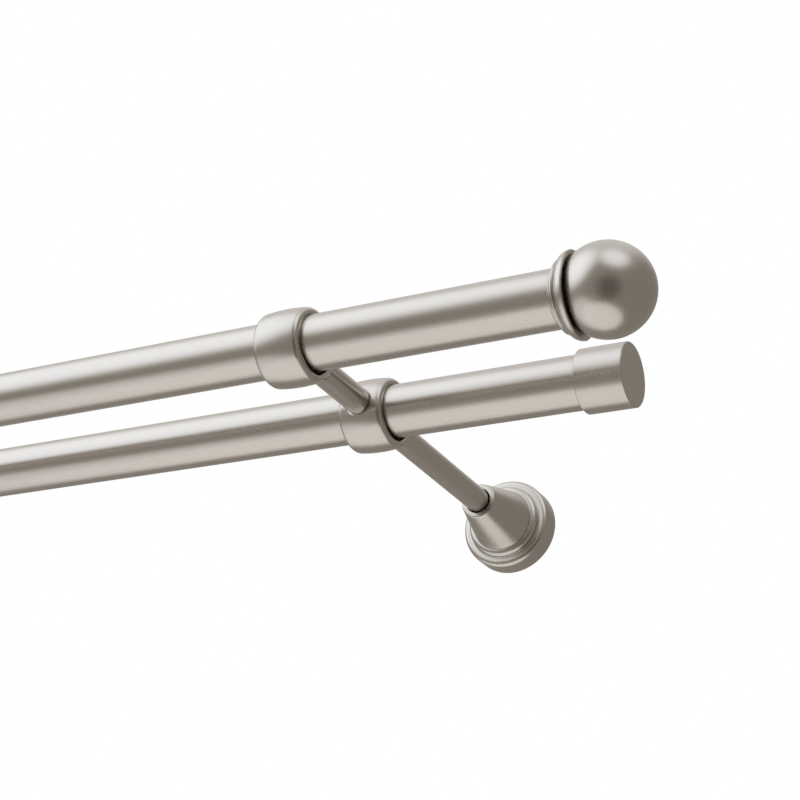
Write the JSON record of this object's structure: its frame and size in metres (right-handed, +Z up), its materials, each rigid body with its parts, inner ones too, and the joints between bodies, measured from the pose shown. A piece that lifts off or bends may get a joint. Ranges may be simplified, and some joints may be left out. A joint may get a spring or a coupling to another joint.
{
  "type": "double curtain pole",
  "caption": "Front and rear tubular curtain rails on passing wall brackets with stepped cone roses; ball finials end the front rail and plain caps the rear rail.",
  "frame": {"origin": "on the wall, midway between the brackets and level with their arms, at the centre of the wall screw holes", "axes": "+X along the poles to the right as seen from the room, +Y into the wall, +Z up"},
  "size_m": [1.2638, 0.1962, 0.039],
  "materials": {
    "satin_metal": "satin nickel plate",
    "plated_steel": "bright zinc plate",
    "screw_steel": "black oxide",
    "plug_plastic": "moulded, matt"
  },
  "bodies": {
    "root": {"front_pole": "satin_metal", "rear_pole": "satin_metal", "front_ring_left": "satin_metal", "front_ring_right": "satin_metal", "rear_ring_left": "satin_metal", "rear_ring_right": "satin_metal", "front_arm_left": "satin_metal", "front_arm_right": "satin_metal", "rear_arm_left": "satin_metal", "rear_arm_right": "satin_metal", "rose_left": "satin_metal", "rose_right": "satin_metal", "wall_plate_left": "plated_steel", "wall_plate_right": "plated_steel", "finial_collar_left": "satin_metal", "finial_collar_right": "satin_metal", "finial_ball_left": "satin_metal", "finial_ball_right": "satin_metal", "finial_plug_left": "plug_plastic", "finial_plug_right": "plug_plastic", "end_cap_left": "satin_metal", "end_cap_right": "satin_metal", "ring_grub_screws": "screw_steel", "rose_grub_screws": "screw_steel", "arm_screws": "plated_steel", "finial_studs": "plated_steel"}
  },
  "joints": []
}
